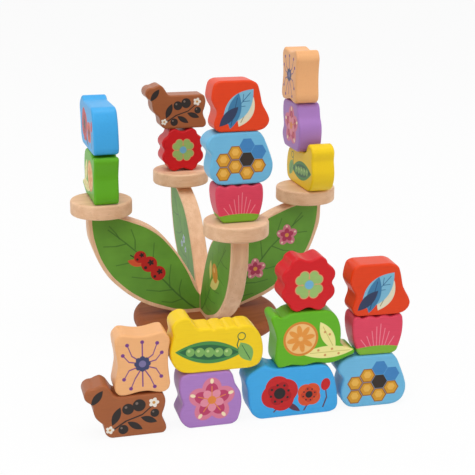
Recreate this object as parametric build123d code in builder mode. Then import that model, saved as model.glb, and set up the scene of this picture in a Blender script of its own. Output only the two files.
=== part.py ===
from build123d import *
from math import radians, tan
import os

# A wooden balance game in millimetres: four leaves rise from a round foot and carry round
# landings, and twenty loose painted blocks stand on the landings and in a row on the table.
# X runs along the left and right leaves, Y points backwards and Z up.
# The origin is the middle of the underside of the foot.

# The round foot
base_radius = 62
base_height = 12
base_round_share = 0.45
mortise_depth = 8

# The leaf boards, each one long V with a leaf at either end
board_thickness = 13.5
board_edge_radius = 0.9
leaf_reach = 100
leaf_rise = 91
leaf_tip_width = 15
leaf_foot_width = 57
leaf_foot_nose = 1.4
valley_height = 12.5
tenon_width = 31
fit_clearance = 0.1

# The outer edge as shares of the leaf's reach past its foot and of its rise, up to the tip
leaf_outer_shares = [(0.161, 0.06), (0.413, 0.15), (0.664, 0.305), (0.839, 0.475), (0.958, 0.7)]
leaf_outer_end_share = 0.9

# The inner edge as shares of the leaf's reach and rise, from the tip down to the valley
leaf_inner_shares = [(0.64, 0.93), (0.46, 0.83), (0.31, 0.665), (0.17, 0.425), (0.085, 0.22)]

# The round landings and the dowels that hold them
disc_radius = 25
disc_thickness = 12
disc_edge_radius = 1.8
disc_inset = 12
dowel_radius = 4
dowel_in_disc = 8
dowel_in_leaf = 14

# The painted blocks
block_thickness = 20
block_edge_radius = 1.8
seat_gap = 0.2
ear_gap = 0.8
landing_ear_gap = 1.2
outline_samples = 240
corner_side_share = 0.45

# Each block's length along its face and its height from seat to seat
brown_length = 55.5
brown_height = 29.8
peach_length = 38.5
peach_height = 43.4
purple_length = 44.5
purple_height = 40.4
yellow_length = 65
yellow_height = 31.5
blue_length = 68
blue_height = 37
green_length = 61.5
green_height = 40
red_length = 38.5
red_height = 38.5
light_blue_length = 52
light_blue_height = 39.5
pink_length = 37.5
pink_height = 29.2
orange_length = 45
orange_height = 37.8

# The row on the table: its distance from the plant's middle, its left block and the gaps
row_distance = 185.5
row_start = -101.5
row_gaps = (1.3, 3, 1.8)
yellow_shift_share = 0.09
pink_shift_share = 0.05
orange_shift_share = 0.06
row_turn_degrees = (-1.8, -1.8, -1.8, -4)

# The blocks' outlines as shares of their length and height, anticlockwise from the lower left.
# A block stands on the level stretches at 0 and carries the next one on those at 1.
brown_shares = [
    (-0.3, 0), (0.35, 0), (0.39, 0.08), (0.385, 0.2), (0.345, 0.35), (0.335, 0.46), (0.37, 0.63),
    (0.385, 0.81), (0.35, 1), (-0.2, 1), (-0.24, 1.035), (-0.272, 1.13), (-0.312, 1.25),
    (-0.37, 1.325), (-0.43, 1.295), (-0.48, 1.25), (-0.53, 1.25), (-0.585, 1.19), (-0.607, 1.07),
    (-0.585, 0.955), (-0.52, 0.865), (-0.495, 0.79), (-0.495, 0.66), (-0.475, 0.53), (-0.425, 0.42),
    (-0.38, 0.35), (-0.37, 0.26), (-0.36, 0.1),
]
peach_shares = [
    (-0.4, 0), (-0.27, 0), (-0.08, 0.038), (0.08, 0.047), (0.29, 0), (0.39, 0), (0.47, 0.05),
    (0.495, 0.14), (0.47, 0.31), (0.455, 0.495), (0.465, 0.685), (0.503, 0.865), (0.4, 1),
    (0.31, 1), (0.16, 0.97), (0, 0.95), (-0.16, 0.97), (-0.29, 1), (-0.37, 1), (-0.47, 0.91),
    (-0.465, 0.78), (-0.43, 0.615), (-0.417, 0.475), (-0.45, 0.32), (-0.485, 0.165), (-0.475, 0.07),
]
purple_shares = [
    (-0.32, 0), (0.35, 0), (0.435, 0.055), (0.48, 0.21), (0.501, 0.365), (0.498, 0.495),
    (0.47, 0.61), (0.402, 0.71), (0.38, 0.805), (0.352, 0.93), (0.28, 1), (-0.38, 1),
    (-0.465, 0.94), (-0.488, 0.805), (-0.48, 0.66), (-0.445, 0.53), (-0.423, 0.435), (-0.466, 0.345),
    (-0.499, 0.25), (-0.455, 0.13), (-0.385, 0.04),
]
yellow_shares = [
    (-0.28, 0), (0.38, 0), (0.465, 0.065), (0.502, 0.22), (0.511, 0.42), (0.496, 0.64),
    (0.46, 0.82), (0.38, 1), (0.27, 1), (0.24, 0.962), (0.21, 1), (0.135, 1), (0.105, 0.962),
    (0.075, 1), (0, 1), (-0.03, 0.962), (-0.06, 1), (-0.18, 1), (-0.215, 1.045), (-0.245, 1.15),
    (-0.275, 1.25), (-0.325, 1.29), (-0.375, 1.27), (-0.43, 1.21), (-0.462, 1.1), (-0.461, 0.99),
    (-0.448, 0.88), (-0.468, 0.73), (-0.489, 0.55),
    (-0.478, 0.32), (-0.43, 0.14), (-0.365, 0.035),
]
blue_shares = [
    (-0.37, 0), (0.39, 0), (0.455, 0.045), (0.477, 0.14), (0.472, 0.31), (0.454, 0.55),
    (0.42, 0.765), (0.37, 0.935), (0.3, 1), (-0.21, 1), (-0.255, 1.03), (-0.31, 1.085),
    (-0.363, 1.068), (-0.447, 0.986), (-0.508, 0.885), (-0.523, 0.78), (-0.502, 0.665),
    (-0.49, 0.54), (-0.49, 0.425), (-0.478, 0.255), (-0.447, 0.11),
]
green_shares = [
    (-0.33, 0), (-0.28, 0), (-0.23, 0.018), (-0.17, 0.03), (-0.11, 0.018), (-0.06, 0), (-0.01, 0),
    (0.05, 0.02), (0.115, 0.036), (0.18, 0.02), (0.23, 0), (0.3, 0), (0.39, 0.035), (0.47, 0.085),
    (0.573, 0.137), (0.573, 0.227), (0.46, 0.274), (0.412, 0.32), (0.398, 0.38),
    (0.404, 0.51), (0.394, 0.68), (0.357, 0.836), (0.298, 0.948), (0.21, 1), (-0.17, 1),
    (-0.23, 0.97), (-0.272, 0.927), (-0.311, 0.92), (-0.35, 0.975), (-0.4, 0.975),
    (-0.425, 0.915), (-0.415, 0.836), (-0.391, 0.744), (-0.367, 0.627), (-0.354, 0.522),
    (-0.362, 0.38), (-0.37, 0.235), (-0.367, 0.1),
]
red_shares = [
    (-0.23, 0), (-0.17, 0), (0, 0.078), (0.17, 0), (0.23, 0), (0.325, 0.06), (0.35, 0.15),
    (0.45, 0.22), (0.498, 0.305), (0.49, 0.4), (0.426, 0.5), (0.49, 0.6), (0.498, 0.695),
    (0.45, 0.78), (0.35, 0.85), (0.325, 0.94), (0.23, 1), (0.17, 1), (0, 0.922), (-0.17, 1),
    (-0.23, 1), (-0.325, 0.94), (-0.35, 0.85), (-0.45, 0.78), (-0.498, 0.695), (-0.49, 0.6),
    (-0.426, 0.5), (-0.49, 0.4), (-0.498, 0.305), (-0.45, 0.22), (-0.35, 0.15), (-0.325, 0.06),
]
light_blue_shares = [
    (-0.25, 0), (0.27, 0), (0.37, 0.025), (0.45, 0.11), (0.488, 0.23), (0.495, 0.365),
    (0.462, 0.52), (0.407, 0.705), (0.35, 0.885), (0.28, 1), (-0.29, 1), (-0.388, 0.975),
    (-0.462, 0.905), (-0.505, 0.8), (-0.488, 0.7), (-0.44, 0.635), (-0.41, 0.57), (-0.425, 0.485),
    (-0.449, 0.35), (-0.444, 0.22), (-0.397, 0.1), (-0.333, 0.025),
]
pink_shares = [
    (-0.33, 0), (0.3, 0), (0.39, 0.06), (0.437, 0.25), (0.475, 0.435), (0.492, 0.61), (0.492, 0.79),
    (0.477, 0.93), (0.44, 1), (0.37, 1), (0.25, 0.94), (0.13, 1), (0.08, 1), (-0.03, 0.94),
    (-0.14, 1), (-0.19, 1), (-0.31, 0.94), (-0.38, 1), (-0.45, 1), (-0.492, 0.93), (-0.508, 0.775),
    (-0.497, 0.6), (-0.475, 0.42), (-0.432, 0.24), (-0.39, 0.07),
]
orange_shares = [
    (-0.35, 0), (0.31, 0), (0.412, 0.035), (0.48, 0.12), (0.501, 0.21), (0.47, 0.32), (0.414, 0.43),
    (0.366, 0.54), (0.345, 0.67), (0.32, 0.805), (0.285, 0.93), (0.17, 1), (-0.36, 1),
    (-0.444, 0.952), (-0.476, 0.83), (-0.498, 0.655), (-0.455, 0.53), (-0.402, 0.43),
    (-0.402, 0.34), (-0.433, 0.24), (-0.45, 0.15), (-0.427, 0.06),
]

shapes = {
    "brown": (brown_length, brown_height, brown_shares),
    "peach": (peach_length, peach_height, peach_shares),
    "purple": (purple_length, purple_height, purple_shares),
    "yellow": (yellow_length, yellow_height, yellow_shares),
    "blue": (blue_length, blue_height, blue_shares),
    "green": (green_length, green_height, green_shares),
    "red": (red_length, red_height, red_shares),
    "light_blue": (light_blue_length, light_blue_height, light_blue_shares),
    "pink": (pink_length, pink_height, pink_shares),
    "orange": (orange_length, orange_height, orange_shares),
}

# Heights and distances that follow from the sizes above
tip_height = base_height + leaf_rise
landing_height = tip_height + disc_thickness
disc_distance = leaf_reach - disc_inset
dowel_distance = leaf_reach - leaf_tip_width / 2
tenon_depth = mortise_depth - fit_clearance
lap_height = (valley_height - tenon_depth) / 2
slot_width = board_thickness + 2 * fit_clearance

os.makedirs("parts", exist_ok=True)


def make_base():
    """The round foot with its cross-shaped mortise."""
    with BuildPart() as base:
        Cylinder(base_radius, base_height, align=(Align.CENTER, Align.CENTER, Align.MIN))
        fillet(base.edges().filter_by(GeomType.CIRCLE), radius=base_height * base_round_share)
        with BuildSketch(Plane.XY.offset(base_height)):
            for turn in (0, 90):
                Rectangle(tenon_width + 2 * fit_clearance, slot_width, rotation=turn)
        extrude(amount=-mortise_depth, mode=Mode.SUBTRACT)
    base.part.label = "base"
    export_step(base.part, "parts/base.step")


def make_leaf_board(name, plane, slot_on_top):
    """One V-shaped board, drawn upright on a plane whose origin is the middle of the foot's top."""
    foot_end = leaf_foot_width / 2
    overhang = leaf_reach - foot_end
    outer_edge = [(foot_end + overhang * x, leaf_rise * z) for x, z in leaf_outer_shares]
    inner_edge = [(leaf_reach * x, leaf_rise * z) for x, z in leaf_inner_shares]
    outer_end = (leaf_reach, leaf_rise * leaf_outer_end_share)
    nose = (foot_end, leaf_foot_nose)
    tip_start = (leaf_reach - leaf_tip_width, leaf_rise)
    with BuildPart() as board:
        with BuildSketch(plane):
            with BuildLine():
                Polyline((0, 0), (foot_end, 0), nose)
                Spline(nose, *outer_edge, outer_end, tangents=[(2, 1), (0, 1)])
                Polyline(outer_end, (leaf_reach, leaf_rise), tip_start)
                Spline(tip_start, *inner_edge, (0, valley_height), tangents=[(-4, -1), (-1, 0)])
                mirror(about=Plane.YZ)
            make_face()
        extrude(amount=board_thickness / 2, both=True)
        rims = board.faces().filter_by(plane).edges().filter_by_position(
            Axis.Z, base_height + leaf_foot_nose, tip_height, inclusive=(False, False)
        )
        fillet(rims, radius=board_edge_radius)
        with BuildSketch(plane):
            Rectangle(tenon_width, tenon_depth, align=(Align.CENTER, Align.MAX))
        extrude(amount=board_thickness / 2, both=True)
        slot_start = valley_height + board_thickness if slot_on_top else -tenon_depth
        slot_end = lap_height - fit_clearance if slot_on_top else lap_height
        with BuildSketch(plane):
            with Locations((0, (slot_start + slot_end) / 2)):
                Rectangle(slot_width, abs(slot_end - slot_start))
        extrude(amount=board_thickness, both=True, mode=Mode.SUBTRACT)
        with Locations(plane):
            with Locations((-dowel_distance, leaf_rise), (dowel_distance, leaf_rise)):
                Cylinder(
                    dowel_radius + fit_clearance,
                    dowel_in_leaf + fit_clearance,
                    rotation=(90, 0, 0),
                    align=(Align.CENTER, Align.CENTER, Align.MIN),
                    mode=Mode.SUBTRACT,
                )
    board.part.label = name
    export_step(board.part, f"parts/{name}.step")


def make_disc(name, turn):
    """A round landing on a leaf's tip, with a blind hole for its dowel underneath."""
    centre = Plane.XY.rotated((0, 0, turn)).offset(tip_height)
    with BuildPart() as disc:
        with BuildSketch(centre):
            with Locations((disc_distance, 0)):
                Circle(disc_radius)
        extrude(amount=disc_thickness)
        fillet(disc.edges(), radius=disc_edge_radius)
        with BuildSketch(centre):
            with Locations((dowel_distance, 0)):
                Circle(dowel_radius + fit_clearance)
        extrude(amount=dowel_in_disc + fit_clearance, mode=Mode.SUBTRACT)
    disc.part.label = name
    export_step(disc.part, f"parts/{name}.step")


def make_dowel(name, turn):
    """The hidden dowel between a leaf's tip and its landing."""
    with BuildPart() as dowel:
        with BuildSketch(Plane.XY.rotated((0, 0, turn)).offset(tip_height - dowel_in_leaf)):
            with Locations((dowel_distance, 0)):
                Circle(dowel_radius)
        extrude(amount=dowel_in_leaf + dowel_in_disc)
    dowel.part.label = name
    export_step(dowel.part, f"parts/{name}.step")


def corner_radii(corners):
    """Each corner's arc takes up most of half of the shorter side beside it."""
    radii = []
    for step, corner in enumerate(corners):
        side_before = corner - corners[step - 1]
        side_after = corners[(step + 1) % len(corners)] - corner
        half_turn = radians(side_before.get_angle(side_after) / 2)
        radii.append(corner_side_share * min(side_before.length, side_after.length) / tan(half_turn))
    return radii


def make_block(length, height, outline_shares):
    """A block on its seat, its face towards the front, and points along its outline."""
    corners = [Vector(length * x, height * z) for x, z in outline_shares]
    with BuildPart() as block:
        with BuildSketch(Plane.XZ) as face:
            with BuildLine():
                FilletPolyline(*corners, radius=corner_radii(corners), close=True)
            make_face()
        extrude(amount=block_thickness / 2, both=True)
        fillet(block.faces().filter_by(Plane.XZ).edges(), radius=block_edge_radius)
    rim = face.sketch.face().outer_wire()
    outline = [rim.position_at(step / outline_samples) for step in range(outline_samples)]
    return block.part, [(point.X, point.Z) for point in outline]


def step_past(left_outline, right_outline, gap):
    """How far the right outline moves to the right to stand clear of the left one by the gap."""
    reaches = [
        left_x - right_x
        for left_x, left_z in left_outline
        for right_x, right_z in right_outline
        if abs(left_z - right_z) < gap
    ]
    return max(reaches) + gap


def raised(outline, shift, height):
    """The same outline further along and higher up."""
    return [(x + shift, z + height) for x, z in outline]


def set_down(name, colour, x, y, z, turn):
    """Puts a block in its place and writes it."""
    with BuildPart() as block:
        with Locations(Location((x, y, z), (0, 0, turn))):
            add(blocks[colour])
    block.part.label = name
    export_step(block.part, f"parts/{name}.step")


make_base()
foot_top = (0, 0, base_height)
make_leaf_board("left_right_leaf_board", Plane(foot_top, x_dir=(1, 0, 0), z_dir=(0, -1, 0)), True)
make_leaf_board("front_back_leaf_board", Plane(foot_top, x_dir=(0, 1, 0), z_dir=(1, 0, 0)), False)
for side, turn in {"right": 0, "back": 90, "left": 180, "front": 270}.items():
    make_disc(f"{side}_disc", turn)
    make_dowel(f"{side}_dowel", turn)

blocks = {}
outlines = {}
for colour, (length, height, outline_shares) in shapes.items():
    blocks[colour], outlines[colour] = make_block(length, height, outline_shares)


def ear_step(lower, upper, upper_facing, gap):
    """How far the upper block stands to the right to clear the ear of the one beneath."""
    seat = shapes[lower][1]
    ear = [(x, z) for x, z in outlines[lower] if z > seat and x < 0]
    beside = [(upper_facing * x, z + seat + seat_gap) for x, z in outlines[upper]]
    return step_past(ear, beside, gap)


def stack_outline(stack):
    """The outline points of a whole stack, and the seat height and shift of each of its blocks."""
    points = []
    seats = []
    seat = 0
    for colour, shift in stack:
        points += raised(outlines[colour], shift, seat)
        seats.append((colour, shift, seat))
        seat += shapes[colour][1] + seat_gap
    return points, seats


# The stacks on the landings, from below: colour, turn and place as shares of the landing's radius.
landing_shares = {
    "front": [("pink", 0, 0, 0), ("light_blue", 0, 0, 0), ("orange", 0, 0, 0)],
    "back": [("red", 0, 0, 0), ("brown", 0, 0, 0)],
    "left": [("green", 90, 0.03, -0.04), ("blue", -90, 0.04, 0.2)],
    "right": [("yellow", 90, 0.14, -0.08), ("purple", -90, -0.1, -0.08), ("peach", -90, -0.2, -0.08)],
}
landings = {
    "front": (0, -disc_distance),
    "back": (0, disc_distance),
    "left": (-disc_distance, 0),
    "right": (disc_distance, 0),
}

# Blocks further back on their landing, clear of the yellow block's ear
purple_step = ear_step("yellow", "purple", -1, landing_ear_gap)
backward_steps = {"purple": purple_step, "peach": purple_step}
for side, stack in landing_shares.items():
    landing_x, landing_y = landings[side]
    seat = landing_height + seat_gap
    for colour, turn, x_share, y_share in stack:
        x = landing_x + disc_radius * x_share
        y = landing_y + disc_radius * y_share + backward_steps.get(colour, 0)
        set_down(f"{colour}_block_on_landing", colour, x, y, seat, turn)
        seat += shapes[colour][1] + seat_gap

# The row on the table, each stack from below with its blocks' shifts to the right
peach_step = ear_step("brown", "peach", 1, ear_gap)
green_step = ear_step("blue", "green", 1, ear_gap)
row = [
    [("brown", 0), ("peach", peach_step)],
    [("purple", 0), ("yellow", purple_length * yellow_shift_share)],
    [("blue", 0), ("green", green_step), ("red", green_step)],
    [
        ("light_blue", 0),
        ("pink", light_blue_length * pink_shift_share),
        ("orange", light_blue_length * orange_shift_share),
    ],
]
stack_x = row_start
neighbour = None
for step, stack in enumerate(row):
    outline, seats = stack_outline(stack)
    if neighbour:
        stack_x += step_past(neighbour, outline, row_gaps[step - 1])
    turn = row_turn_degrees[step]
    for colour, shift, seat in seats:
        set_down(f"{colour}_block_on_table", colour, stack_x + shift, -row_distance, seat, turn)
    neighbour = outline
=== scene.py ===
from math import atan2, cos, hypot, pi, radians, sin

import bpy
from bpy.props import FloatProperty, FloatVectorProperty, PointerProperty
from mathutils import Matrix, Vector


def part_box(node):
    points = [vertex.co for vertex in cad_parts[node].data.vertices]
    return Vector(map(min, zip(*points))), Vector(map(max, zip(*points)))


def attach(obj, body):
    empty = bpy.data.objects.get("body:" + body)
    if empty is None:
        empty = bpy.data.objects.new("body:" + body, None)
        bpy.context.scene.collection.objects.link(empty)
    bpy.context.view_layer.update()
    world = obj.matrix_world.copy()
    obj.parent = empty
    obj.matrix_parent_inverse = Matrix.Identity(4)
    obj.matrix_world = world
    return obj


bl_info = {
    "name": "Balance Game",
    "version": (1, 0, 0),
    "blender": (4, 5, 0),
    "location": "3D View > Sidebar > Balance Game",
    "description": "Finishes a wooden balance game: printed leaves, bare landings and painted blocks",
    "category": "Object",
}

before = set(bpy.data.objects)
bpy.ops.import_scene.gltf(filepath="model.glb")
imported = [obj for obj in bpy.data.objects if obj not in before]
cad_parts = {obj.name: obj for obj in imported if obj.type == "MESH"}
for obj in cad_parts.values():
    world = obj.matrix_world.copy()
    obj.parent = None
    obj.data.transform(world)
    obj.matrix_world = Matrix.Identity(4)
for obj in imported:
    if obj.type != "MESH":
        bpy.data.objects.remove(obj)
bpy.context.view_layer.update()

MM = 0.001


def paint(red, green, blue):
    """A colour as it is seen on screen, 0 to 255, turned into the linear values that shaders use."""
    linear = []
    for level in (red, green, blue):
        share = level / 255
        linear.append(share / 12.92 if share <= 0.04045 else ((share + 0.055) / 1.055) ** 2.4)
    return tuple(linear)


# Shader maths

class Number:
    """A number socket that can stand in a sum, a product or a comparison."""

    def __init__(self, shader, socket):
        self.shader = shader
        self.socket = socket

    def _math(self, operation, *others):
        return self.shader.math(operation, self, *others)

    def __add__(self, other):
        return self._math("ADD", other)

    def __sub__(self, other):
        return self._math("SUBTRACT", other)

    def __mul__(self, other):
        return self._math("MULTIPLY", other)

    def __truediv__(self, other):
        return self._math("DIVIDE", other)

    def __radd__(self, other):
        return self.shader.math("ADD", other, self)

    def __rsub__(self, other):
        return self.shader.math("SUBTRACT", other, self)

    def __rmul__(self, other):
        return self.shader.math("MULTIPLY", other, self)

    def __abs__(self):
        return self._math("ABSOLUTE")

    def least(self, other):
        return self._math("MINIMUM", other)

    def most(self, other):
        return self._math("MAXIMUM", other)

    def within(self, low, high):
        return self.least(high).most(low)


class Shader:
    """Adds nodes to one node tree."""

    def __init__(self, tree):
        self.tree = tree

    def node(self, kind, settings=None, inputs=None):
        """One node: its settings are set first, then the values or links of its sockets."""
        node = self.tree.nodes.new(kind)
        for name, value in (settings or {}).items():
            if name == "stops":
                self._set_stops(node.color_ramp, value)
            else:
                setattr(node, name, value)
        for name, value in (inputs or {}).items():
            socket = node.inputs[name]
            if isinstance(value, Number):
                value = value.socket
            if isinstance(value, bpy.types.NodeSocket):
                self.tree.links.new(value, socket)
            else:
                socket.default_value = value
        return node

    def _set_stops(self, ramp, stops):
        while len(ramp.elements) < len(stops):
            ramp.elements.new(0.5)
        for element, (place, colour) in zip(ramp.elements, stops):
            element.position = place
            element.color = (*colour, 1)

    def math(self, operation, *values):
        node = self.node("ShaderNodeMath", {"operation": operation}, dict(enumerate(values)))
        return Number(self, node.outputs[0])

    def mix(self, mask, below, above, blend="MIX"):
        """One colour laid over another where the mask is 1."""
        colours = {}
        for name, value in (("A", below), ("B", above)):
            colours[name] = (*value, 1) if isinstance(value, tuple) else value
        settings = {"data_type": "RGBA", "blend_type": blend}
        node = self.node("ShaderNodeMix", settings, {0: mask})
        for index, name in ((6, "A"), (7, "B")):
            value = colours[name]
            if isinstance(value, tuple):
                node.inputs[index].default_value = value
            else:
                self.tree.links.new(value, node.inputs[index])
        return node.outputs[2]

    def noise(self, vector, scale, stretch=(1, 1, 1), detail=3, roughness=0.5):
        """Noise, drawn out along the axes whose stretch is small."""
        drawn = self.node("ShaderNodeMapping", None, {"Vector": vector, "Scale": stretch})
        node = self.node(
            "ShaderNodeTexNoise", None,
            {"Vector": drawn.outputs[0], "Scale": scale, "Detail": detail, "Roughness": roughness},
        )
        return Number(self, node.outputs[0])

    def shown(self):
        """1 where a surface is seen, straight or in a gloss, and 0 where it only sheds light."""
        rays = self.node("ShaderNodeLightPath")
        kinds = ("Is Camera Ray", "Is Glossy Ray", "Is Transmission Ray")
        seen, mirrored, passed = [Number(self, rays.outputs[kind]) for kind in kinds]
        return seen.most(mirrored).most(passed)

    def own_place(self, centre, turn, lean=0):
        """Places on a piece in millimetres from its own centre, with its face along X."""
        place = self.node("ShaderNodeTexCoord").outputs["Object"]
        mapping = self.node(
            "ShaderNodeMapping", {"vector_type": "TEXTURE"},
            {"Vector": place, "Location": centre, "Rotation": (0, lean, turn), "Scale": (MM, MM, MM)},
        )
        return mapping.outputs[0]


class Print:
    """Shapes printed on a face, in millimetres: X to the right and Z up."""

    def __init__(self, shader, vector, ground):
        self.shader = shader
        parts = shader.node("ShaderNodeSeparateXYZ", None, {0: vector})
        self.x = Number(shader, parts.outputs[0])
        self.z = Number(shader, parts.outputs[2])
        self.colour = ground
        self.softness = 0.35

    def lay(self, mask, colour):
        self.colour = self.shader.mix(mask, self.colour, colour)

    def edge(self, inside):
        """A mask from how far a place lies inside a shape."""
        return (inside / self.softness + 0.5).within(0, 1)

    def turned(self, x, z, degrees):
        """Places measured from a point along and across a turned direction."""
        along_x, along_z = cos(radians(degrees)), sin(radians(degrees))
        right = self.x - x
        up = self.z - z
        return right * along_x + up * along_z, up * along_x - right * along_z

    def distance(self, x, z):
        right = self.x - x
        up = self.z - z
        return self.shader.math("SQRT", right * right + up * up)

    def spot(self, x, z, radius):
        return self.edge(radius - self.distance(x, z))

    def ring(self, x, z, radius, width):
        return self.edge(width / 2 - abs(self.distance(x, z) - radius))

    def oval(self, x, z, half_length, half_width, degrees=0):
        along, across = self.turned(x, z, degrees)
        along = along / half_length
        across = across / half_width
        reach = self.shader.math("SQRT", along * along + across * across)
        return self.edge((1 - reach) * half_width)

    def blade(self, x, z, length, width, degrees):
        """A pointed leaf about its middle."""
        along, across = self.turned(x, z, degrees)
        along = along / (length / 2)
        return self.edge((1 - along * along) * (width / 2) - abs(across))

    def petals(self, x, z, count, radius, depth, degrees=0):
        """A round blossom whose rim swings in between its petals."""
        along, across = self.turned(x, z, degrees)
        angle = self.shader.math("ARCTAN2", across, along)
        swing = abs(self.shader.math("COSINE", angle * (count / 2)))
        rim = swing * (radius * depth) + radius * (1 - depth)
        return self.edge(rim - self.distance(x, z))

    def hexagon(self, x, z, radius):
        right = abs(self.x - x)
        up = abs(self.z - z)
        slant = right * 0.866 + up * 0.5
        return self.edge(radius * 0.866 - slant.most(up))

    def stroke(self, points, width, end_width=None):
        """A line through a few points, thinner towards its end if it has an end width."""
        mask = None
        steps = len(points) - 1
        for step, (start, end) in enumerate(zip(points, points[1:])):
            run = hypot(end[0] - start[0], end[1] - start[1])
            degrees = atan2(end[1] - start[1], end[0] - start[0]) * 180 / pi
            along, across = self.turned(start[0], start[1], degrees)
            past = along - along.within(0, run)
            away = self.shader.math("SQRT", past * past + across * across)
            thinning = ((end_width or width) - width) / steps
            half_width = (width + thinning * (step + 0.5)) / 2
            line = self.edge(half_width - away)
            mask = line if mask is None else mask.most(line)
        return mask


# What is printed on each block, in millimetres from the middle of its underside

def draw_feathery_leaves(art):
    """Blue and cream leaves in a bunch."""
    line = paint(38, 92, 136)
    art.lay(art.blade(4, 14.5, 24, 11, 62), paint(222, 214, 186))
    art.lay(art.stroke([(0, 7), (4, 14.5), (7.8, 22)], 0.7, 0.35), paint(150, 140, 110))
    art.lay(art.blade(-2, 18.5, 34, 16.5, 48), paint(118, 178, 206))
    art.lay(art.stroke([(-11.4, 8.1), (-2, 18.5), (7, 28.5)], 0.9, 0.4), line)
    for out in (-5, 0, 5):
        x, z = -2 + 0.67 * out, 18.5 + 0.74 * out
        art.lay(art.stroke([(x, z), (x + 0.6, z + 5.4)], 0.6, 0.3), line)
        art.lay(art.stroke([(x, z), (x + 5.2, z + 0.4)], 0.6, 0.3), line)
    art.lay(art.blade(-5, 15.5, 27, 10, 76), paint(58, 118, 160))
    art.lay(art.stroke([(-7.5, 5), (-5, 15.5), (-2.7, 25)], 0.7, 0.4), paint(36, 70, 110))
    art.lay(art.blade(-9.2, 11.5, 20, 7.5, 44), paint(47, 58, 88))


def draw_honeycomb(art):
    """Golden cells with a dark rim, two of them dark and two blue."""
    golden, dark, blue = paint(213, 151, 45), paint(52, 42, 36), paint(62, 128, 188)
    cells = [
        (-13, 19, golden), (-4, 13.8, golden), (-4, 24.2, golden), (5, 19, dark), (-13, 8.6, golden),
        (5, 8.6, golden), (14, 13.8, golden), (5, 29.4, blue), (14, 24.2, blue),
    ]
    for x, z, colour in cells:
        art.lay(art.hexagon(x, z, 5.9), paint(150, 92, 30) if colour is golden else colour)
        art.lay(art.hexagon(x, z, 5), colour)
        if colour is golden:
            art.lay(art.hexagon(x, z + 0.6, 2.9), paint(232, 178, 78))


def draw_poppies(art):
    """Two red blossoms with dark middles and an orange bud."""
    red, dark, stem = paint(196, 34, 36), paint(38, 32, 34), paint(92, 54, 74)
    for points in (
        [(-15, 5), (-11, 9), (-10, 17)], [(7, 4), (10, 9), (11, 15)], [(21, 5), (23.5, 12), (22.5, 20)],
    ):
        art.lay(art.stroke(points, 1.1, 0.8), stem)
    art.lay(art.blade(-1.5, 7.5, 14, 4.2, 145), stem)
    art.lay(art.petals(-11, 18.5, 4, 13.5, 0.14, 20), red)
    art.lay(art.petals(-11, 18.5, 4, 9, 0.3, 65), paint(170, 24, 30))
    art.lay(art.petals(10.5, 15.5, 4, 9.2, 0.16, 50), paint(214, 80, 44))
    art.lay(art.petals(10.5, 15.5, 4, 6, 0.3, 5), paint(198, 62, 36))
    art.lay(art.oval(22.5, 22, 4.6, 3.4, 80), red)
    art.lay(art.spot(-11, 18.5, 4.2), dark)
    art.lay(art.spot(10.5, 15.5, 2.6), dark)
    for step in range(8):
        angle = radians(45 * step + 15)
        art.lay(art.spot(-11 + 6.6 * cos(angle), 18.5 + 6.6 * sin(angle), 0.9), dark)
        art.lay(art.spot(10.5 + 4.4 * cos(angle), 15.5 + 4.4 * sin(angle), 0.6), dark)


def draw_pea_pods(art):
    """An open pod with round peas, a leaf and a tendril."""
    pod, pea, dark = paint(70, 138, 72), paint(122, 172, 92), paint(44, 98, 62)
    art.lay(art.ring(17.5, 24, 2.6, 0.7), dark)
    art.lay(art.stroke([(15.6, 22), (14.4, 18), (16, 13)], 0.8), dark)
    art.lay(art.blade(-5, 14.5, 47, 16, -5), pod)
    art.lay(art.blade(-5, 14.5, 42, 10.8, -5), dark)
    for step in range(5):
        x = -18 + 6.5 * step
        z = 15.6 - 0.57 * step
        art.lay(art.spot(x, z, 3.5 - 0.25 * abs(step - 2)), pea)
        art.lay(art.spot(x - 0.9, z + 1, 1), paint(176, 206, 130))
    art.lay(art.blade(20.5, 12.5, 16, 10, 118), pea)
    art.lay(art.stroke([(23.5, 7), (20.5, 12.5), (17.8, 17.6)], 0.7, 0.4), dark)


def draw_blossom(art):
    """One wide pink blossom with cream tips."""
    for radius, depth, degrees, colour in (
        (16.5, 0.3, 90, paint(216, 122, 148)), (12.5, 0.4, 90, paint(186, 62, 102)),
        (8.5, 0.4, 54, paint(226, 140, 160)),
    ):
        art.lay(art.petals(1, 20, 5, radius, depth, degrees), colour)
    for step in range(5):
        angle = radians(90 + 72 * step)
        out, up = cos(angle), sin(angle)
        art.lay(art.oval(1 + 14 * out, 20 + 14 * up, 1.9, 1.2, 90 + 72 * step), paint(246, 226, 186))
        art.lay(art.stroke([(1, 20), (1 + 10 * out, 20 + 10 * up)], 0.9, 0.5), paint(222, 130, 70))
    art.lay(art.spot(1, 20, 3), paint(224, 134, 62))


def draw_seed_head(art):
    """A dark seed head with fine bent rays."""
    ray = paint(116, 62, 132)
    for side in (-1, 1):
        for points in (
            [(0, 23), (side * 7, 28), (side * 10, 36)], [(0, 22), (side * 9, 24), (side * 13, 29)],
            [(0, 21), (side * 9, 18), (side * 12.5, 12)], [(0, 20), (side * 5, 12), (side * 8, 5)],
        ):
            art.lay(art.stroke(points, 0.9, 0.6), ray)
            art.lay(art.spot(points[-1][0], points[-1][1], 1.3), ray)
    art.lay(art.stroke([(0, 22), (0, 37)], 0.9), ray)
    art.lay(art.stroke([(0, 22), (0, 6)], 0.9), ray)
    art.lay(art.spot(0, 37.5, 1.3), ray)
    art.lay(art.petals(0, 22, 8, 5.6, 0.16, 0), paint(62, 68, 104))
    art.lay(art.spot(0, 22, 2.4), paint(120, 112, 156))


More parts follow.
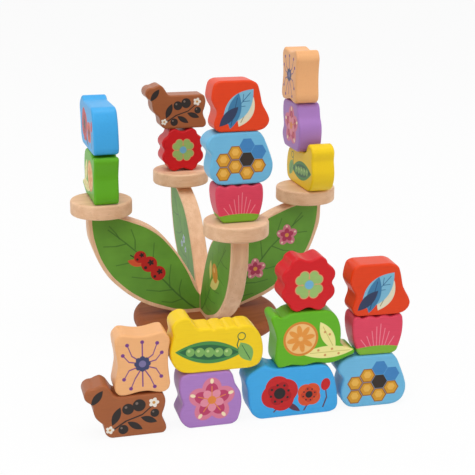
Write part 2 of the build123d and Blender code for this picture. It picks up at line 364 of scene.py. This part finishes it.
def draw_citrus(art):
    """A slice of orange on pale leaves."""
    pale, vein, fleck = paint(238, 228, 148), paint(196, 184, 96), paint(206, 152, 88)
    art.lay(art.blade(15, 9, 38, 9, 0), pale)
    art.lay(art.blade(14.5, 21, 24, 9, 118), pale)
    art.lay(art.stroke([(2, 9), (31, 9)], 0.6, 0.3), vein)
    art.lay(art.stroke([(18.5, 13.5), (11, 28)], 0.6, 0.3), vein)
    art.lay(art.spot(-5, 20.5, 12.6), paint(214, 130, 50))
    art.lay(art.spot(-5, 20.5, 10.9), paint(240, 190, 120))
    for step in range(8):
        degrees = 45 * step + 10
        x = -5 + 5.8 * cos(radians(degrees))
        z = 20.5 + 5.8 * sin(radians(degrees))
        art.lay(art.oval(x, z, 4.3, 1.9, degrees), paint(228, 146, 62))
    for x, z in ((8, 10.8), (13, 6.8), (18, 11), (23, 7.2), (16, 22), (12.5, 24)):
        art.lay(art.spot(x, z, 0.9), fleck)


def draw_berry_sprig(art):
    """Dark berries, leaves and white blossoms along one stem."""
    dark = paint(46, 40, 38)
    art.lay(art.stroke([(-17, 5), (-6, 12), (5, 15.5), (14, 23)], 1.2, 0.8), dark)
    for x, z, length, width, degrees in (
        (-12.5, 16, 14, 5.4, 66), (0, 8, 12, 4.6, -32), (9.5, 11.5, 12, 4.6, -22), (-25, 30.5, 13, 5, 52),
    ):
        art.lay(art.blade(x, z, length, width, degrees), dark)
    for x, z, radius in ((-4.5, 20.5, 4), (3, 22.5, 4.4), (-8, 6, 3.4), (13.5, 15.8, 3)):
        art.lay(art.spot(x, z, radius), dark)
        art.lay(art.spot(x - radius * 0.35, z + radius * 0.35, radius * 0.22), paint(120, 104, 96))
    for x, z, radius in ((13, 23.5, 3.6), (-17, 6.5, 2.9)):
        art.lay(art.petals(x, z, 5, radius, 0.35), paint(238, 232, 220))
        art.lay(art.spot(x, z, radius * 0.3), paint(206, 150, 80))


def draw_four_petals(art):
    """A plain flower of four notched petals with a blue middle."""
    for rim, colour in ((0.6, paint(216, 148, 106)), (0, paint(150, 184, 104))):
        for petal in range(4):
            middle = 90 * petal + 45
            for half in (-17, 17):
                angle = radians(middle + half)
                art.lay(art.spot(7.2 * cos(angle), 19.25 + 7.2 * sin(angle), 3.1 + rim), colour)
            x, z = 4.6 * cos(radians(middle)), 19.25 + 4.6 * sin(radians(middle))
            art.lay(art.oval(x, z, 4.2 + rim, 2.9 + rim, middle), colour)
    art.softness = 0.8
    art.lay(art.spot(0, 19.25, 3.1), paint(108, 172, 208))


def draw_cup_rays(art):
    """A green band with fine pale rays above it."""
    for foot, tip_x, tip_z in (
        (-8, -12.5, 12), (-5, -8.3, 14.5), (-2.8, -4.6, 18), (-0.8, -1.2, 21), (1.2, 1.8, 23),
        (3, 5, 19.5), (5, 8.2, 17), (7.5, 11.8, 13),
    ):
        art.lay(art.stroke([(foot, 6), (tip_x, tip_z)], 0.6, 0.5), paint(234, 132, 150))
    arch = art.x * art.x * -0.006 + 6.9
    art.lay(art.edge(arch - art.z), paint(122, 174, 50))


# Each block: its screen colour, what is printed on it and the middle of its box along its face
BLOCKS = {
    "orange": ((224, 62, 18), draw_feathery_leaves, 0.1),
    "light_blue": ((108, 182, 222), draw_honeycomb, -0.2),
    "blue": ((62, 166, 230), draw_poppies, -1.5),
    "yellow": ((244, 204, 24), draw_pea_pods, 0.7),
    "purple": ((170, 124, 194), draw_blossom, 0.2),
    "peach": ((240, 176, 120), draw_seed_head, 0),
    "green": ((96, 174, 30), draw_citrus, 4.6),
    "brown": ((160, 92, 54), draw_berry_sprig, -5.9),
    "red": ((206, 22, 30), draw_four_petals, 0),
    "pink": ((220, 66, 92), draw_cup_rays, -0.2),
}

# How each block is turned, in degrees anticlockwise from above
LANDING_TURNS = {"green": 90, "blue": -90, "yellow": 90, "purple": -90, "peach": -90}
TABLE_TURN = -1.8
LAST_STACK_TURN = -4
LAST_STACK = ("light_blue", "pink", "orange")


# What is printed on the leaves, in millimetres from the plant's axis and above the table

LEAF_OUTLINE = [
    (7.2, 15.4), (20, 15.4), (28, 16.7), (38.8, 20.5), (56.3, 28.4), (73.8, 42.1), (85.7, 56.8), (93.9, 76.6),
    (96.8, 93.9), (96.8, 102.7), (90, 102.7), (82, 100.8), (64.7, 94.9), (47.1, 86), (32.4, 71.4),
    (18.6, 49.8), (10, 31), (7.2, 27.2),
]
LEAF_CORNERS = [(7.2, 15.4), (96.8, 102.7), (90, 102.7), (7.2, 27.2)]
LEAF_VEINS = [
    [(30, 34), (42, 33.5), (53, 35.5)], [(22, 25), (31, 22.5), (40, 24)], [(24, 27), (25, 34), (23, 42)],
    [(41, 46), (53, 45.5), (65, 48)], [(33, 36), (33.5, 45), (32, 56)], [(57, 65), (67, 60.5), (78, 59)],
    [(48, 55), (47, 65), (46, 76)], [(62, 72), (62, 80), (65, 89)], [(70, 77), (78, 75.5), (88, 76)],
    [(75, 82), (78, 87), (83, 93)],
]


def draw_leaf(art):
    """The midrib and the side veins."""
    vein = paint(66, 106, 42)
    art.softness = 0.8
    art.lay(art.stroke([(9, 14), (17, 20), (28, 31), (41, 46), (55, 64), (70, 78), (84, 90)], 1.5, 0.7), vein)
    for points in LEAF_VEINS:
        art.lay(art.stroke(points, 0.9, 0.5), vein)
    art.softness = 0.35


def draw_red_berries(art):
    """Three red berries with dark calyxes on a twig."""
    dark = paint(44, 30, 26)
    art.lay(art.stroke([(66, 67), (56, 60), (44, 50)], 1, 0.7), dark)
    art.lay(art.blade(62, 60, 14, 6, 200), paint(214, 84, 48))
    for x, z, radius in ((58, 65, 5.2), (50.5, 58, 6.8), (43, 49.5, 6.4)):
        art.lay(art.spot(x, z, radius), paint(186, 34, 26))
        art.lay(art.petals(x - 1.4, z + 1.4, 5, radius * 0.42, 0.5), dark)
        art.lay(art.spot(x + radius * 0.45, z - radius * 0.4, radius * 0.2), dark)


def draw_pink_blossoms(art):
    """Two small pink blossoms."""
    for x, z in ((70, 74), (42, 46)):
        art.lay(art.petals(x, z, 5, 9.5, 0.35, 20), paint(214, 122, 140))
        art.lay(art.petals(x, z, 5, 6, 0.4, 20), paint(178, 56, 88))
        for step in range(5):
            angle = radians(20 + 72 * step)
            art.lay(art.spot(x + 7.8 * cos(angle), z + 7.8 * sin(angle), 0.9), paint(240, 214, 190))
        art.lay(art.spot(x, z, 1.8), paint(224, 150, 70))


def draw_orange_fruit(art):
    """An orange fruit over a pale leaf."""
    art.lay(art.blade(52, 52, 30, 10, 25), paint(222, 206, 120))
    art.lay(art.blade(40, 60, 18, 7, 80), paint(222, 206, 120))
    art.lay(art.spot(53, 61, 8), paint(212, 142, 52))
    art.lay(art.spot(51, 63, 2.2), paint(236, 186, 110))


def draw_pale_buds(art):
    """A few pale blue buds."""
    for x, z, radius in ((50, 60, 4.2), (57, 54, 3.4), (44, 52, 3)):
        art.lay(art.petals(x, z, 5, radius, 0.35), paint(176, 192, 204))
        art.lay(art.spot(x, z, radius * 0.35), paint(110, 110, 168))


# The leaves: how far each is turned from the right-hand one, in degrees, and what is on it
LEAVES = {
    "right": (0, draw_pink_blossoms),
    "back": (90, draw_pale_buds),
    "left": (180, draw_red_berries),
    "front": (270, draw_orange_fruit),
}


# Settings that a user would change

class BalanceGameFinish(bpy.types.PropertyGroup):
    """Colours and finishes of the wood, the paint and the prints."""

    wood_pale: FloatVectorProperty(
        name="Pale Wood", description="Lighter colour of the bare wood", subtype="COLOR",
        size=3, min=0, max=1, default=paint(247, 207, 170),
    )
    wood_dark: FloatVectorProperty(
        name="Wood Grain", description="Darker colour of the grain in the bare wood", subtype="COLOR",
        size=3, min=0, max=1, default=paint(218, 168, 127),
    )
    foot_pale: FloatVectorProperty(
        name="Stained Foot", description="Lighter colour of the stained foot", subtype="COLOR",
        size=3, min=0, max=1, default=paint(166, 94, 54),
    )
    foot_dark: FloatVectorProperty(
        name="Stained Grain", description="Darker colour of the grain in the stained foot", subtype="COLOR",
        size=3, min=0, max=1, default=paint(130, 68, 36),
    )
    leaf_green: FloatVectorProperty(
        name="Leaf Green", description="Main colour of the printed leaves", subtype="COLOR",
        size=3, min=0, max=1, default=paint(118, 174, 62),
    )
    leaf_shade: FloatVectorProperty(
        name="Leaf Shade", description="Darker green in the printed leaves", subtype="COLOR",
        size=3, min=0, max=1, default=paint(96, 148, 50),
    )
    leaf_print_thickness: FloatProperty(
        name="Print Thickness", description="How far the leaf print stands out of the board",
        unit="LENGTH", min=0, default=0.08 * MM, precision=5,
    )


class BalanceGameStage(bpy.types.PropertyGroup):
    """The camera, the lamps and the floor."""

    camera_place: FloatVectorProperty(
        name="Camera Place", description="Where the camera stands", subtype="TRANSLATION",
        size=3, default=(-0.2294, -0.8496, 0.3384),
    )
    camera_heading: FloatProperty(
        name="Camera Heading", description="Direction of view, clockwise from straight back",
        subtype="ANGLE", default=radians(16.848),
    )
    camera_pitch: FloatProperty(
        name="Camera Pitch", description="How far the camera looks down", subtype="ANGLE",
        default=radians(16.639),
    )
    camera_roll: FloatProperty(
        name="Camera Roll", description="How far the camera leans", subtype="ANGLE", default=radians(0.516),
    )
    camera_lens: FloatProperty(
        name="Lens", description="Focal length on a 36 mm sensor", subtype="DISTANCE_CAMERA", default=82.48,
    )
    key_power: FloatProperty(
        name="Key Lamp", description="Power of the large lamp at the upper left", unit="POWER", default=11.5,
    )
    fill_power: FloatProperty(
        name="Fill Lamp", description="Power of the lamp at the right", unit="POWER", default=2.5,
    )
    top_power: FloatProperty(
        name="Top Lamp", description="Power of the wide lamp overhead", unit="POWER", default=13,
    )
    world_strength: FloatProperty(
        name="Room Light", description="Strength of the even light all round", default=0.54, min=0,
    )


# Materials

# How each surface shines: its gloss, its clear coat and how deep its fine relief is
WOOD_FINISH = {"gloss": 0.25, "coat": 0.0, "relief": 0.05 * MM}
STAIN_FINISH = {"gloss": 0.12, "coat": 0.0, "relief": 0.05 * MM}
PAINT_FINISH = {"gloss": 0.22, "coat": 0.04, "relief": 0.035 * MM}
PRINT_FINISH = {"gloss": 0.25, "coat": 0.04, "relief": 0.04 * MM}
RELIEF_STRENGTH = 0.5
COAT_ROUGHNESS = 0.25
FOOT_GRAIN_TURN = radians(8)


def new_material(name):
    material = bpy.data.materials.new(name)
    material.use_nodes = True
    material.node_tree.nodes.clear()
    return material, Shader(material.node_tree)


def finish_material(shader, colour, roughness, height, gloss, coat, relief):
    """Joins a colour, a roughness and a fine relief into one surface."""
    bump = shader.node(
        "ShaderNodeBump", None, {"Height": height, "Distance": relief, "Strength": RELIEF_STRENGTH},
    )
    surface = shader.node(
        "ShaderNodeBsdfPrincipled", None,
        {
            "Base Color": colour, "Roughness": roughness, "Normal": bump.outputs[0],
            "Specular IOR Level": gloss, "Coat Weight": coat, "Coat Roughness": COAT_ROUGHNESS,
        },
    )
    shader.node("ShaderNodeOutputMaterial", None, {"Surface": surface.outputs[0]})


def wood_material(name, pale, dark, grain_turn, grain_lean, roughness, finish):
    """Planed wood whose grain runs along a direction, turned from the right and leaning upwards."""
    material, shader = new_material(name)
    place = shader.own_place((0, 0, 0), grain_turn, grain_lean)
    wander = shader.noise(place, 0.02, (0.35, 1, 1), 2)
    broad = shader.noise(place, 0.16, (0.07, 1, 1), 3, 0.55)
    fine = shader.noise(place, 1.5, (0.035, 1, 1), 3, 0.6)
    flecks = shader.noise(place, 0.9, (0.16, 1, 1.6), 1)
    grain = ((broad * 0.55 + fine * 0.25 + wander * 0.2 - 0.5) * 2.6 + 0.42).within(0, 1)
    colour = shader.mix(grain, tuple(pale), tuple(dark))
    fleck_mask = ((flecks - 0.66) * 9).within(0, 1) * 0.4
    colour = shader.mix(fleck_mask, colour, tuple(level * 0.62 for level in dark))
    rough = fine * 0.18 + (roughness - 0.09)
    finish_material(shader, colour, rough, fine * 0.7 + flecks * 0.3, **finish)
    return material


def print_group(name, ground, draw):
    """A group that gives the printed colour at each place on a block."""
    group = bpy.data.node_groups.new(name, "ShaderNodeTree")
    group.interface.new_socket("Place", in_out="INPUT", socket_type="NodeSocketVector")
    group.interface.new_socket("Color", in_out="OUTPUT", socket_type="NodeSocketColor")
    shader = Shader(group)
    entry = shader.node("NodeGroupInput")
    art = Print(shader, entry.outputs[0], ground)
    draw(art)
    shader.node("NodeGroupOutput", None, {0: art.colour})
    return group


def painted_material(name, group, centre, turn):
    """Satin paint over wood, with the block's print on its two faces."""
    material, shader = new_material(name)
    place = shader.own_place(centre, turn)
    printed = shader.node("ShaderNodeGroup", {"node_tree": group}, {0: place}).outputs[0]
    cloud = shader.noise(place, 0.07, (1, 1, 1), 2)
    grain = shader.noise(place, 1.1, (0.08, 1, 1), 3, 0.6)
    pores = shader.noise(place, 2.6, (1, 1, 1), 2)
    worn = (cloud * 0.16 + grain * 0.12 - 0.06).within(0, 0.25)
    colour = shader.mix(worn, printed, paint(255, 250, 240), "SOFT_LIGHT")
    shade = ((0.5 - grain) * 0.24).within(0, 0.07)
    colour = shader.mix(shade, colour, paint(60, 40, 30), "MULTIPLY")
    rough = grain * 0.16 + cloud * 0.1 + 0.26
    finish_material(shader, colour, rough, grain * 0.8 + pores * 0.2, **PAINT_FINISH)
    return material


def leaf_material(name, finish, turn, draw):
    """The green print of one leaf, with its veins and its own small picture."""
    material, shader = new_material(name)
    place = shader.own_place((0, 0, 0), turn)
    cloud = shader.noise(place, 0.045, (1, 1, 1), 3)
    streaks = shader.noise(place, 0.5, (0.2, 1, 1), 2)
    blend = ((cloud - 0.35) * 1.6 + (streaks - 0.5) * 0.2).within(0, 1)
    ground = shader.mix(blend, tuple(finish.leaf_shade), tuple(finish.leaf_green))
    art = Print(shader, place, ground)
    draw_leaf(art)
    draw(art)
    finish_material(shader, art.colour, streaks * 0.12 + 0.4, streaks, **PRINT_FINISH)
    return material


def put_material(piece, material):
    """Gives a piece one material for all its slots."""
    if not piece.data.materials:
        piece.data.materials.append(material)
    for index in range(len(piece.data.materials)):
        piece.data.materials[index] = material


# Operators

def deselect_all():
    if bpy.context.object and bpy.context.object.mode != "OBJECT":
        bpy.ops.object.mode_set(mode="OBJECT")
    bpy.ops.object.select_all(action="DESELECT")


class BALANCEGAME_OT_bare_wood(bpy.types.Operator):
    """Finish the leaf boards, landings and dowels as bare wood"""

    bl_idname = "balance_game.bare_wood"
    bl_label = "Finish Bare Wood"
    bl_options = {"REGISTER", "UNDO"}

    def execute(self, context):
        finish = context.scene.balance_game_finish
        colours = (finish.wood_pale, finish.wood_dark)
        level = wood_material("level_bare_wood", *colours, 0, 0, 0.5, WOOD_FINISH)
        upright = wood_material("upright_bare_wood", *colours, 0, pi / 2, 0.5, WOOD_FINISH)
        for name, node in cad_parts.items():
            if name.endswith(("_leaf_board", "_dowel")):
                put_material(node, upright)
            elif name.endswith("_disc"):
                put_material(node, level)
        return {"FINISHED"}


class BALANCEGAME_OT_foot(bpy.types.Operator):
    """Finish the round foot in brown stain"""

    bl_idname = "balance_game.foot"
    bl_label = "Finish Foot"
    bl_options = {"REGISTER", "UNDO"}

    def execute(self, context):
        finish = context.scene.balance_game_finish
        stain = wood_material(
            "brown_stained_wood", finish.foot_pale, finish.foot_dark, FOOT_GRAIN_TURN, 0, 0.55, STAIN_FINISH,
        )
        put_material(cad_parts["base"], stain)
        return {"FINISHED"}


class BALANCEGAME_OT_painted_blocks(bpy.types.Operator):
    """Paint every block and print its faces"""

    bl_idname = "balance_game.painted_blocks"
    bl_label = "Paint Blocks"
    bl_options = {"REGISTER", "UNDO"}

    def execute(self, context):
        for colour, (screen_colour, draw, box_middle) in BLOCKS.items():
            group = print_group(f"{colour}_print", paint(*screen_colour), draw)
            for place in ("landing", "table"):
                name = f"{colour}_block_on_{place}"
                if place == "landing":
                    degrees = LANDING_TURNS.get(colour, 0)
                else:
                    degrees = LAST_STACK_TURN if colour in LAST_STACK else TABLE_TURN
                turn = radians(degrees)
                low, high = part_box(name)
                middle = (low + high) / 2
                centre = (
                    middle.x - cos(turn) * box_middle * MM, middle.y - sin(turn) * box_middle * MM, low.z,
                )
                put_material(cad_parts[name], painted_material(f"{name}_paint", group, centre, turn))
        return {"FINISHED"}


class BALANCEGAME_OT_leaf_prints(bpy.types.Operator):
    """Add the green printed face on both sides of each leaf"""

    bl_idname = "balance_game.leaf_prints"
    bl_label = "Add Leaf Prints"
    bl_options = {"REGISTER", "UNDO"}

    def execute(self, context):
        finish = context.scene.balance_game_finish
        low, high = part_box("left_right_leaf_board")
        face = high.y
        first = self.model_print(finish.leaf_print_thickness, face)
        for side, (degrees, draw) in LEAVES.items():
            material = leaf_material(f"{side}_leaf_print", finish, radians(degrees), draw)
            for facing in (-1, 1):
                face_name = "near" if facing < 0 else "far"
                piece = bpy.data.objects.new(f"{side}_leaf_print_{face_name}", first.data.copy())
                context.scene.collection.objects.link(piece)
                self.place(piece, radians(degrees), facing)
                put_material(piece, material)
                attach(piece, "plant")
        bpy.data.objects.remove(first)
        return {"FINISHED"}

    def model_print(self, thickness, face):
        """The print on the near face of the right-hand leaf, a thin plate with a smooth outline."""
        deselect_all()
        bpy.ops.curve.primitive_bezier_circle_add(radius=MM, location=(0, 0, 0))
        outline = bpy.context.object
        spline = outline.data.splines[0]
        spline.bezier_points.add(len(LEAF_OUTLINE) - len(spline.bezier_points))
        for point, (out, up) in zip(spline.bezier_points, LEAF_OUTLINE):
            point.co = (out * MM, up * MM, 0)
            bend = "VECTOR" if (out, up) in LEAF_CORNERS else "AUTO"
            point.handle_left_type = bend
            point.handle_right_type = bend
        outline.data.dimensions = "2D"
        outline.data.fill_mode = "BOTH"
        outline.data.resolution_u = 12
        outline.data.extrude = thickness
        bpy.ops.object.convert(target="MESH")
        plate = bpy.context.object
        plate.data.transform(Matrix.Rotation(pi / 2, 4, "X"))
        plate.data.transform(Matrix.Translation((0, -face, 0)))
        bpy.ops.object.mode_set(mode="EDIT")
        bpy.ops.mesh.select_all(action="SELECT")
        bpy.ops.mesh.remove_doubles(threshold=0.001 * MM)
        bpy.ops.mesh.normals_make_consistent(inside=False)
        bpy.ops.object.mode_set(mode="OBJECT")
        return plate

    def place(self, piece, turn, facing):
        """Turns a copy to its leaf, mirrored for the far face."""
        if facing > 0:
            piece.data.transform(Matrix.Scale(-1, 4, (0, 1, 0)))
            piece.data.flip_normals()
        piece.data.transform(Matrix.Rotation(turn, 4, "Z"))


# The lamps: where each stands and how wide it is, in metres
LAMPS = {
    "key_lamp": ((-0.9, -1.3, 1.7), 1.3),
    "fill_lamp": ((1.3, -0.9, 1.0), 1.2),
    "top_lamp": ((-0.1, -0.2, 1.9), 1.4),
}
LAMP_TARGET = (0, -0.05, 0.1)
FLOOR_WIDTH = 8
FLOOR_DROP = 0.02 * MM
FLOOR_WHITENESS = 0.92


class BALANCEGAME_OT_stage(bpy.types.Operator):
    """Add the floor, the lamps and the camera"""

    bl_idname = "balance_game.stage"
    bl_label = "Set the Stage"
    bl_options = {"REGISTER", "UNDO"}

    def execute(self, context):
        stage = context.scene.balance_game_stage
        self.add_floor()
        for name, (place, size) in LAMPS.items():
            self.add_lamp(name, place, size, getattr(stage, name.replace("_lamp", "_power")))
        self.light_room(context.scene, stage.world_strength)
        self.add_camera(context.scene, stage)
        context.scene.view_settings.view_transform = "Standard"
        return {"FINISHED"}

    def add_floor(self):
        deselect_all()
        bpy.ops.mesh.primitive_plane_add(size=FLOOR_WIDTH, location=(0, 0, -FLOOR_DROP))
        floor = bpy.context.object
        floor.name = "floor"
        bpy.ops.object.transform_apply(location=True, rotation=False, scale=False)
        material, shader = new_material("pale_floor")
        matt = shader.node("ShaderNodeBsdfDiffuse", None, {"Color": (0.9, 0.9, 0.9, 1)})
        glow = shader.node("ShaderNodeEmission", None, {"Color": (1, 1, 1, 1), "Strength": 1.0})
        white = shader.node(
            "ShaderNodeMixShader", None,
            {0: shader.shown() * FLOOR_WHITENESS, 1: matt.outputs[0], 2: glow.outputs[0]},
        )
        shader.node("ShaderNodeOutputMaterial", None, {"Surface": white.outputs[0]})
        put_material(floor, material)

    def add_lamp(self, name, place, size, power):
        deselect_all()
        bpy.ops.object.light_add(type="AREA", location=place)
        lamp = bpy.context.object
        lamp.name = name
        lamp.data.shape = "DISK"
        lamp.data.size = size
        lamp.data.energy = power
        aim = Vector(LAMP_TARGET) - Vector(place)
        lamp.rotation_euler = aim.to_track_quat("-Z", "Y").to_euler()

    def light_room(self, scene, strength):
        world = scene.world or bpy.data.worlds.new("room")
        scene.world = world
        world.use_nodes = True
        world.node_tree.nodes.clear()
        shader = Shader(world.node_tree)
        light = shader.node("ShaderNodeBackground", None, {"Color": (1, 1, 1, 1), "Strength": strength})
        backdrop = shader.node("ShaderNodeBackground", None, {"Color": (1, 1, 1, 1), "Strength": 1.0})
        both = shader.node(
            "ShaderNodeMixShader", None, {0: shader.shown(), 1: light.outputs[0], 2: backdrop.outputs[0]},
        )
        shader.node("ShaderNodeOutputWorld", None, {"Surface": both.outputs[0]})

    def add_camera(self, scene, stage):
        deselect_all()
        bpy.ops.object.camera_add(location=tuple(stage.camera_place))
        camera = bpy.context.object
        camera.name = "camera"
        camera.data.lens = stage.camera_lens
        camera.data.sensor_width = 36
        camera.data.clip_start = 0.05
        heading = Matrix.Rotation(-stage.camera_heading, 4, "Z")
        pitch = Matrix.Rotation(pi / 2 - stage.camera_pitch, 4, "X")
        roll = Matrix.Rotation(stage.camera_roll, 4, "Z")
        place = Matrix.Translation(Vector(stage.camera_place))
        camera.matrix_world = place @ heading @ pitch @ roll
        scene.camera = camera


class BALANCEGAME_PT_pieces(bpy.types.Panel):
    """Shows the finishing steps and the settings of the balance game"""

    bl_label = "Balance Game"
    bl_space_type = "VIEW_3D"
    bl_region_type = "UI"
    bl_category = "Balance Game"

    def draw(self, context):
        layout = self.layout
        for operator in OPERATORS:
            layout.operator(operator.bl_idname)
        for settings in (context.scene.balance_game_finish, context.scene.balance_game_stage):
            box = layout.box()
            for name in settings.bl_rna.properties.keys():
                if name not in ("rna_type", "name"):
                    box.prop(settings, name)


OPERATORS = (
    BALANCEGAME_OT_bare_wood,
    BALANCEGAME_OT_foot,
    BALANCEGAME_OT_leaf_prints,
    BALANCEGAME_OT_painted_blocks,
    BALANCEGAME_OT_stage,
)
CLASSES = (BalanceGameFinish, BalanceGameStage, *OPERATORS, BALANCEGAME_PT_pieces)


def register():
    for each in CLASSES:
        bpy.utils.register_class(each)
    bpy.types.Scene.balance_game_finish = PointerProperty(type=BalanceGameFinish)
    bpy.types.Scene.balance_game_stage = PointerProperty(type=BalanceGameStage)


def unregister():
    del bpy.types.Scene.balance_game_stage
    del bpy.types.Scene.balance_game_finish
    for each in reversed(CLASSES):
        bpy.utils.unregister_class(each)


def main():
    register()
    bpy.ops.balance_game.bare_wood()
    bpy.ops.balance_game.foot()
    bpy.ops.balance_game.leaf_prints()
    bpy.ops.balance_game.painted_blocks()
    bpy.ops.balance_game.stage()


if __name__ == "__main__":
    main()
